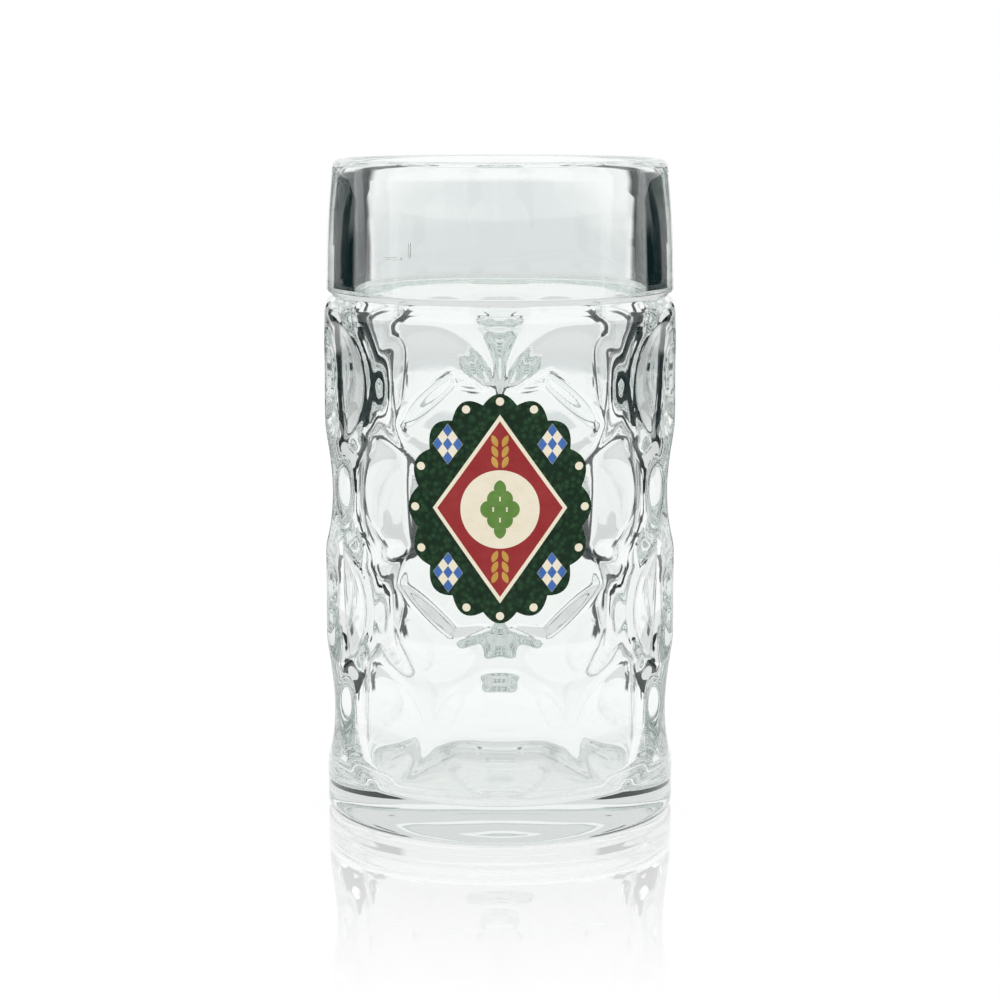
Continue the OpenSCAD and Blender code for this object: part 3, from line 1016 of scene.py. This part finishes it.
@dataclass
class Picture:
    """The fired picture on the panel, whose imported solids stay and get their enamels."""

    nodes: dict[str, bpy.types.Object]
    leaf_mm: float = 1.7

    def finish(self, colour: EnamelColour) -> FiredEnamel:
        """Choose the enamel of a colour: leaves on the green ground, overprinted pearls in the cream.

        Args:
            colour: the fired colour.

        Returns:
            Its enamel.
        """
        if colour is EnamelColour.GREEN:
            return FiredEnamel(colour, self.leaf_mm)
        if colour is EnamelColour.CREAM:
            return FiredEnamel(colour, overprint=Overprint(EnamelColour.GREEN.main))
        return FiredEnamel(colour)

    def dress(self) -> list[bpy.types.Object]:
        """Give each colour its enamel.

        Returns:
            The dressed nodes.
        """
        dressed = []
        for colour in EnamelColour:
            piece = self.nodes[colour.node]
            finish = self.finish(colour).material()
            for slot in piece.material_slots:
                slot.material = finish
            dressed.append(piece)
        return dressed


@dataclass(frozen=True)
class Flag:
    """Studio cloth with soft edges, alike left and right of the table, that only glass and gloss see.

    It lies from near to far and stands up there to its height. Turns are degrees from straight behind.
    """

    name: str
    start: float
    stop: float
    colour: str
    near: float
    far: float
    height: float = 2.0
    lift: float = 1.0
    soft_turn: float = 4.0
    soft_reach: float = 90.0
    seen_through: bool = True
    columns: int = 24

    def cloth(self) -> bpy.types.Material:
        """Build the cloth: even colour, thinning out along its sides and its edge next to the mug.

        Returns:
            The material.
        """
        material = new_material(f"{self.name}_cloth")
        tree = material.node_tree
        place = add_node(tree, "TexCoord")
        flat = add_node(tree, "VectorMath", {"operation": "MULTIPLY"}, {
            0: place.outputs["Object"], 1: (1.0, 1.0, 0.0)})
        reach = add_node(tree, "VectorMath", {"operation": "LENGTH"}, {0: flat})
        part = add_node(tree, "SeparateXYZ", inputs={0: flat})
        aside = add_node(tree, "Math", {"operation": "ABSOLUTE"}, {0: part.outputs["X"]})
        turn = add_node(tree, "Math", {"operation": "ARCTAN2"}, {0: aside, 1: part.outputs["Y"]})
        start, stop, soft = (math.radians(angle) for angle in (self.start, self.stop, self.soft_turn))
        cover = None
        for value, bare, full in (
                (turn, start, start + soft),
                (turn, stop, stop - soft),
                (reach.outputs["Value"], self.near * MM, (self.near + self.soft_reach) * MM)):
            edge = add_node(tree, "MapRange", {"interpolation_type": "SMOOTHSTEP"}, {
                "Value": value, "From Min": min(bare, full), "From Max": max(bare, full),
                "To Min": float(bare > full), "To Max": float(bare < full)})
            cover = edge if cover is None else add_node(
                tree, "Math", {"operation": "MULTIPLY"}, {0: cover, 1: edge})
        clear = add_node(tree, "BsdfTransparent")
        glow = add_node(tree, "Emission", inputs={"Color": linear(self.colour)})
        surface = add_node(tree, "MixShader", inputs={0: cover, 1: clear, 2: glow})
        add_node(tree, "OutputMaterial", inputs={"Surface": surface})
        return material

    def build(self) -> bpy.types.Object:
        """Bend the cloth around the axis: x = reach sin(turn) to each side, y = reach cos(turn).

        Returns:
            The cloth.
        """
        turn = np.radians(np.linspace(self.start, self.stop, self.columns))
        side = np.array([1.0, -1.0])[:, None, None]
        reach = np.array([self.near, self.far, self.far])[:, None]
        z = np.array([self.lift, self.lift, self.height])[:, None]
        x, y = side * reach * np.sin(turn), reach * np.cos(turn)
        points = np.stack(np.broadcast_arrays(x, y, z), axis=-1)
        quads = grid_quads(len(reach), self.columns, False).reshape(-1, 4)
        faces = [quads, quads + len(reach) * self.columns]
        card = make_object(self.name, points.reshape(-1, 3), faces, self.cloth())
        card.data.polygons.foreach_set("use_smooth", np.zeros(len(card.data.polygons), dtype=bool))
        for kind in ("camera", "diffuse", "shadow", "volume_scatter"):
            setattr(card, f"visible_{kind}", False)
        card.visible_transmission = self.seen_through
        return card


@dataclass
class Studio:
    """White table and backdrop, soft light from all around, dark cloth beside the white, the camera."""

    camera_y: float = -800.0
    camera_z: float = 223.1
    pitch: float = 8.98
    lens: float = 93.0
    sensor: float = 36.0
    clip_start: float = 10.0
    floor_half: float = 2400.0
    floor_z: float = -0.05
    floor_lines: int = 9
    floor_glow: float = 0.92
    floor_matt: float = 0.1
    mirror: float = 0.42
    mirror_from: float = 56.0
    mirror_to: float = 215.0
    mirror_roughness: float = 0.02
    backdrop_through: float = 0.77
    glass_bounces: int = 40
    gloss_bounces: int = 24
    cloth: str = "#0d1e20"
    room: str = "#14191a"
    sweep: str = "#e4e7e8"
    strips: tuple[tuple[float, float], ...] = (
        (15.0, 33.0), (57.0, 72.0), (102.0, 118.0), (152.0, 168.0))

    def sheet(self) -> bpy.types.Material:
        """Build the glossy table sheet: white, a little matt for the shadow, a mirror near the foot.

        Returns:
            The material.
        """
        material = new_material("white_table_sheet")
        tree = material.node_tree
        glow = add_node(tree, "Emission", inputs={"Strength": self.floor_glow})
        matt = add_node(tree, "BsdfDiffuse", inputs={"Color": (self.floor_matt,) * 3 + (1.0,)})
        white = add_node(tree, "AddShader", inputs={0: glow, 1: matt})
        place = add_node(tree, "TexCoord")
        flat = add_node(tree, "VectorMath", {"operation": "MULTIPLY"}, {
            0: place.outputs["Object"], 1: (1.0, 1.0, 0.0)})
        away = add_node(tree, "VectorMath", {"operation": "LENGTH"}, {0: flat})
        fade = add_node(tree, "MapRange", {"interpolation_type": "SMOOTHSTEP"}, {
            "Value": away.outputs["Value"], "From Min": self.mirror_from * MM,
            "From Max": self.mirror_to * MM, "To Min": self.mirror, "To Max": 0.0})
        mirror = add_node(tree, "BsdfAnisotropic", inputs={
            "Color": linear(WHITE), "Roughness": self.mirror_roughness})
        sheet = add_node(tree, "MixShader", inputs={0: fade, 1: white, 2: mirror})
        add_node(tree, "OutputMaterial", inputs={"Surface": sheet})
        return material

    def floor(self) -> bpy.types.Object:
        """Lay the table, a level square grid just under the foot.

        Returns:
            The table.
        """
        reach = np.linspace(-self.floor_half, self.floor_half, self.floor_lines)
        x, y = np.meshgrid(reach, reach)
        points = np.stack([x, y, np.full_like(x, self.floor_z)], axis=-1).reshape(-1, 3)
        quads = grid_quads(self.floor_lines, self.floor_lines, False).reshape(-1, 4)
        table = make_object("table_sheet", points, [quads], self.sheet())
        return table

    def flags(self) -> list[bpy.types.Object]:
        """Lay and stand dark cloth around the table, leaving white straight behind from each side.

        Returns:
            The cloths.
        """
        flags = [
            Flag("standing_cloth", start=19.0, stop=71.0, colour=self.cloth, near=1199.0, far=1200.0,
                 height=250.0, soft_turn=3.0, soft_reach=0.5),
            Flag("lying_cloth", start=15.0, stop=78.0, colour=self.cloth, near=560.0, far=1195.0),
            Flag("grey_sweep", start=-4.0, stop=20.0, colour=self.sweep, near=1250.0, far=2390.0,
                 soft_reach=350.0),
            Flag("dark_room", start=110.0, stop=184.0, colour=self.room, near=1599.0, far=1600.0,
                 height=300.0, soft_reach=0.5, seen_through=False),
            Flag("dark_table", start=60.0, stop=184.0, colour=self.room, near=200.0, far=2390.0,
                 seen_through=False),
        ]
        flags += [Flag(f"cloth_strip_{start:.0f}", start, stop, self.cloth, near=220.0, far=690.0)
                  for start, stop in self.strips]
        return [flag.build() for flag in flags]

    def world(self) -> None:
        """Light from all around at a plain level: white to camera and gloss, pale grey through glass."""
        world = bpy.data.worlds.new("soft_white_room")
        bpy.context.scene.world = world
        world.use_nodes = True
        tree = world.node_tree
        tree.nodes.clear()
        path = add_node(tree, "LightPath")
        level = add_node(tree, "MapRange", inputs={
            "Value": path.outputs["Is Transmission Ray"],
            "To Min": 1.0, "To Max": self.backdrop_through})
        back = add_node(tree, "Background", inputs={"Color": linear(WHITE), "Strength": level})
        add_node(tree, "OutputWorld", inputs={"Surface": back})

    def camera(self) -> bpy.types.Object:
        """Place the camera at the photograph's angle.

        Returns:
            The camera.
        """
        lens = bpy.data.cameras.new("camera")
        lens.lens = self.lens
        lens.sensor_width = self.sensor
        lens.clip_start = self.clip_start * MM
        camera = bpy.data.objects.new("camera", lens)
        camera.location = (0.0, self.camera_y * MM, self.camera_z * MM)
        camera.rotation_euler = (math.radians(90 - self.pitch), 0.0, 0.0)
        bpy.context.scene.collection.objects.link(camera)
        bpy.context.scene.camera = camera
        return camera

    def build(self) -> None:
        """Set up camera, light and table, and let light pass through many glass walls."""
        self.camera()
        self.world()
        self.floor()
        self.flags()
        scene = bpy.context.scene
        scene.view_settings.view_transform = "Standard"
        scene.cycles.max_bounces = self.glass_bounces
        scene.cycles.transmission_bounces = self.glass_bounces
        scene.cycles.glossy_bounces = self.gloss_bounces
        scene.cycles.use_denoising = True


def main() -> None:
    """Build the mug and its studio in order."""
    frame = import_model()
    vessel_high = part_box("vessel")[1]
    handle_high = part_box("handle")[1]
    Studio().build()
    body = GlassBody(vessel_high[0] / MM, vessel_high[2] / MM, handle_high[1] / MM)
    glass = body.build()
    mark = FillMark(body).build(glass.data.materials[0])
    for piece in (glass, mark):
        LOG.info("%s: %d faces", piece.name, len(piece.data.polygons))
    for piece in Picture(frame["nodes"]).dress():
        LOG.info("%s dressed", piece.name)
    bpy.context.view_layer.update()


if __name__ == "__main__":
    logging.basicConfig(level=logging.INFO, format="%(name)s: %(message)s")
    main()
